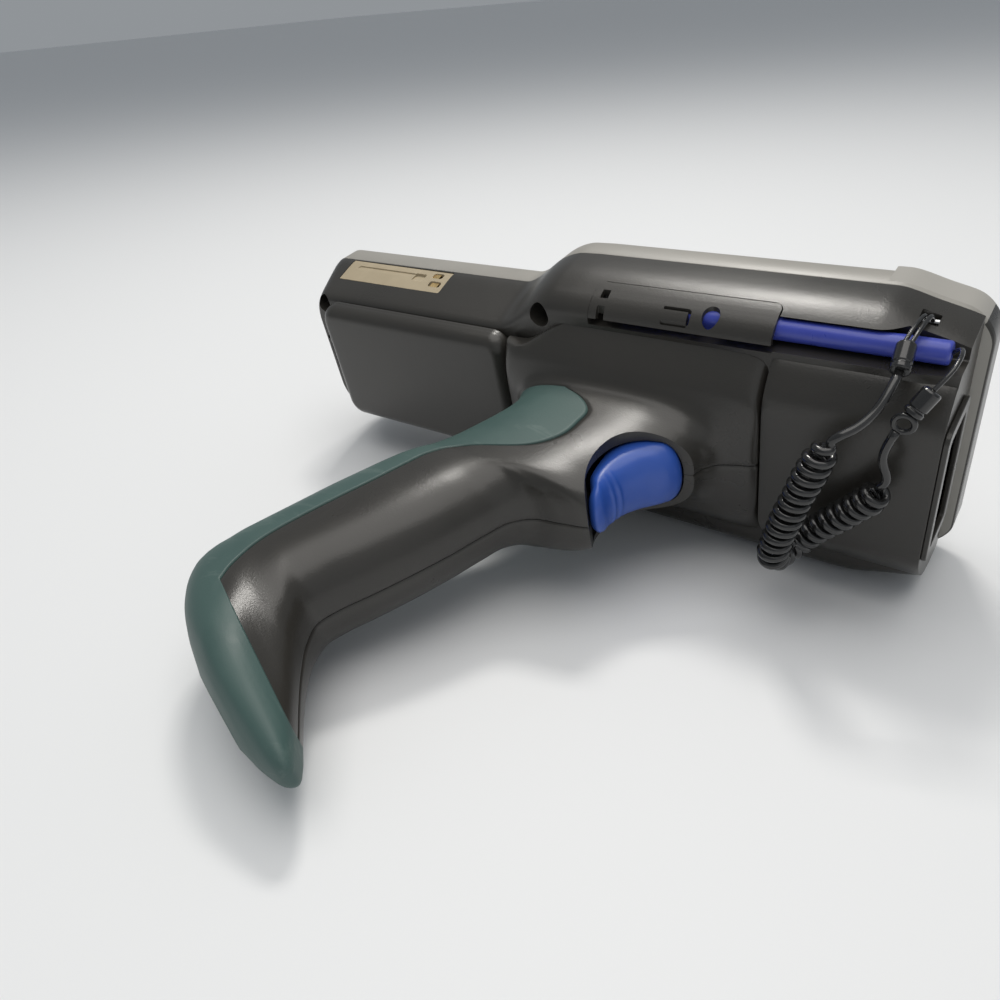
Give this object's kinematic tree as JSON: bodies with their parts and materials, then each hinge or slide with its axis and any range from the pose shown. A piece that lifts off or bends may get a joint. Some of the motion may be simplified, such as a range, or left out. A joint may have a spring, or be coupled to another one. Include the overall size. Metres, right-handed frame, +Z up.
{
  "type": "handheld data collector",
  "caption": "Rugged handheld data collector with keypad, touch display, scanner end, pistol grip with trigger, and a stylus on a coiled tether, lying on its left side.",
  "frame": {"origin": "on the resting plane, under the middle of the bounding box without the tether", "axes": "+X along the device from the keypad end to the scanner end, +Y out of the screen (tilted up by the lying angle), +Z up, the device lies on its left side"},
  "size_m": [0.235, 0.1912, 0.0893],
  "materials": {
    "housing_plastic": "fine satin texture",
    "bezel_plastic": "satin",
    "bumper_plastic": "satin",
    "glass": "polished",
    "display": "matte panel",
    "seal_rubber": "matte",
    "key_rubber": "matte",
    "scan_key_rubber": "matte",
    "board": "solder mask",
    "chips": "moulded",
    "steel": "brushed",
    "plated_plate": "satin",
    "contact_gold": "plated",
    "cell": "wrapped",
    "engine_metal": "die cast",
    "lens": "polished",
    "window_glass": "polished, red tinted",
    "grip_plastic": "fine satin texture",
    "grip_rubber": "worn matte",
    "trigger_plastic": "satin",
    "stylus_plastic": "satin",
    "tip_plastic": "satin",
    "cord_black": "glossy"
  },
  "bodies": {
    "collector": {"front_bezel": "bezel_plastic", "head_bumper": "bumper_plastic", "display_glass": "glass", "display_gasket": "seal_rubber", "display_module": "display", "keypad_mat": "key_rubber", "keypad_board": "board", "rear_housing": "housing_plastic", "stylus_cover": "housing_plastic", "contact_plate": "plated_plate", "contact_pads": "contact_gold", "housing_screws": "steel", "docking_connector": "chips", "main_board": "board", "board_parts": "chips", "backup_cell": "steel", "speaker": "steel", "antenna": "chips", "battery_contacts": "contact_gold", "latch_spring": "steel", "scanner_cover": "housing_plastic", "scan_window": "window_glass", "window_frame": "housing_plastic", "scan_engine": "engine_metal", "engine_lens": "lens", "engine_bracket": "steel", "grip_shell_right": "grip_plastic", "grip_shell_left": "grip_plastic", "grip_rubber": "grip_rubber", "grip_screws": "steel", "trigger_pin": "steel", "trigger_spring": "steel", "trigger_switch": "chips", "switch_board": "board", "tether_anchor_pin": "steel", "tether_loop_anchor": "cord_black", "tether_ferrule_anchor": "cord_black", "tether_lead_anchor": "cord_black", "tether_coil": "cord_black"},
    "trigger": {"trigger": "trigger_plastic"},
    "stylus": {"stylus": "stylus_plastic", "stylus_tip": "tip_plastic", "tether_loop_stylus": "cord_black", "tether_ferrule_stylus": "cord_black", "tether_eyelet": "cord_black", "tether_lead_stylus": "cord_black"},
    "battery": {"battery_pack": "housing_plastic", "battery_cell": "cell", "battery_terminals": "contact_gold"},
    "latch": {"battery_latch": "housing_plastic"},
    "keys_row_1": {"keys_row_1": "key_rubber"},
    "keys_row_2": {"keys_row_2": "key_rubber"},
    "keys_row_3": {"keys_row_3": "key_rubber"},
    "keys_row_4": {"keys_row_4": "key_rubber"},
    "keys_row_5": {"keys_row_5": "key_rubber"},
    "scan_key": {"scan_key": "scan_key_rubber"},
    "left_key": {"left_key": "key_rubber"},
    "right_key": {"right_key": "key_rubber"},
    "enter_key": {"enter_key": "key_rubber"},
    "power_key": {"power_key": "key_rubber"}
  },
  "joints": [
    {"name": "trigger_pull", "type": "hinge", "parent": "collector", "child": "trigger", "pos_m": [0.0395, 0.03858, 0.03802], "axis": [0, 0.1595, -0.9872], "range_deg": [0, 9], "stiffness_Nm_per_rad": 0.3, "springref_deg": -9.74},
    {"name": "stylus_draw", "type": "slide", "parent": "collector", "child": "stylus", "axis": [1, 0, 0], "range_m": [0, 0.095]},
    {"name": "battery_lift", "type": "slide", "parent": "collector", "child": "battery", "axis": [0, -0.9872, -0.1595], "range_m": [0, 0.013]},
    {"name": "battery_latch_slide", "type": "slide", "parent": "collector", "child": "latch", "axis": [-1, 0, 0], "range_m": [0, 0.0016], "stiffness_N_per_m": 400, "springref_m": -0.002},
    {"name": "keys_row_1_press", "type": "slide", "parent": "collector", "child": "keys_row_1", "axis": [0, -0.9872, -0.1595], "range_m": [0, 0.0009], "stiffness_N_per_m": 1500, "springref_m": -0.0003},
    {"name": "keys_row_2_press", "type": "slide", "parent": "collector", "child": "keys_row_2", "axis": [0, -0.9872, -0.1595], "range_m": [0, 0.0009], "stiffness_N_per_m": 1500, "springref_m": -0.0003},
    {"name": "keys_row_3_press", "type": "slide", "parent": "collector", "child": "keys_row_3", "axis": [0, -0.9872, -0.1595], "range_m": [0, 0.0009], "stiffness_N_per_m": 1500, "springref_m": -0.0003},
    {"name": "keys_row_4_press", "type": "slide", "parent": "collector", "child": "keys_row_4", "axis": [0, -0.9872, -0.1595], "range_m": [0, 0.0009], "stiffness_N_per_m": 1500, "springref_m": -0.0003},
    {"name": "keys_row_5_press", "type": "slide", "parent": "collector", "child": "keys_row_5", "axis": [0, -0.9872, -0.1595], "range_m": [0, 0.0009], "stiffness_N_per_m": 1500, "springref_m": -0.0003},
    {"name": "scan_key_press", "type": "slide", "parent": "collector", "child": "scan_key", "axis": [0, -0.9872, -0.1595], "range_m": [0, 0.0009], "stiffness_N_per_m": 1500, "springref_m": -0.0003},
    {"name": "left_key_press", "type": "slide", "parent": "collector", "child": "left_key", "axis": [0, -0.9872, -0.1595], "range_m": [0, 0.0009], "stiffness_N_per_m": 1500, "springref_m": -0.0003},
    {"name": "right_key_press", "type": "slide", "parent": "collector", "child": "right_key", "axis": [0, -0.9872, -0.1595], "range_m": [0, 0.0009], "stiffness_N_per_m": 1500, "springref_m": -0.0003},
    {"name": "enter_key_press", "type": "slide", "parent": "collector", "child": "enter_key", "axis": [0, -0.9872, -0.1595], "range_m": [0, 0.0009], "stiffness_N_per_m": 1500, "springref_m": -0.0003},
    {"name": "power_key_press", "type": "slide", "parent": "collector", "child": "power_key", "axis": [0, -0.9872, -0.1595], "range_m": [0, 0.0009], "stiffness_N_per_m": 1500, "springref_m": -0.0003}
  ]
}
